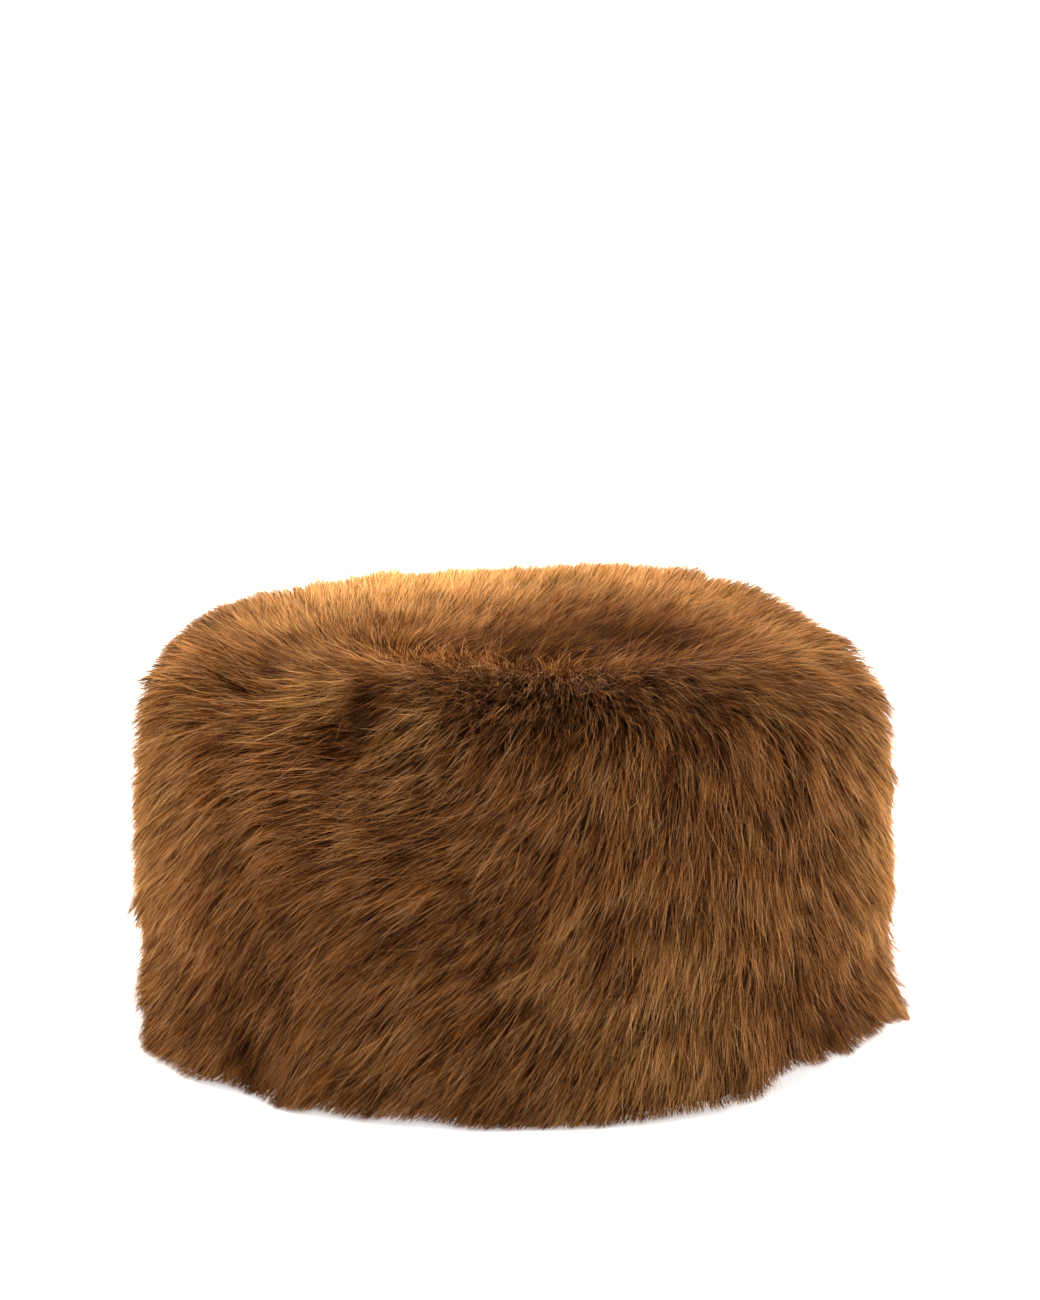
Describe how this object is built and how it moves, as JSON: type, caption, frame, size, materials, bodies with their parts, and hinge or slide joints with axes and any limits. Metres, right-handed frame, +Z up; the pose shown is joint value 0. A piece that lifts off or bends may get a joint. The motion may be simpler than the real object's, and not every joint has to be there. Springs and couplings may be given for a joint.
{
  "type": "fur pillbox hat",
  "caption": "Brimless pillbox hat of long-haired sheepskin, with an upright oval band, a low domed crown and an open head hollow below.",
  "frame": {"origin": "middle of the box round the hat, on the floor the rim stands on", "axes": "+X along the long axis of the head oval, +Z up through the crown, -Y towards the side shown in the picture"},
  "size_m": [0.2778, 0.2482, 0.1539],
  "materials": {
    "band_hide": "suede side of the sheepskin",
    "crown_hide": "suede side of the sheepskin",
    "band_fur": "long brown fur",
    "crown_fur": "long brown fur"
  },
  "bodies": {
    "root": {"band_hide": "band_hide", "crown_hide": "crown_hide", "band_fur": "band_fur", "crown_fur": "crown_fur"}
  },
  "joints": []
}
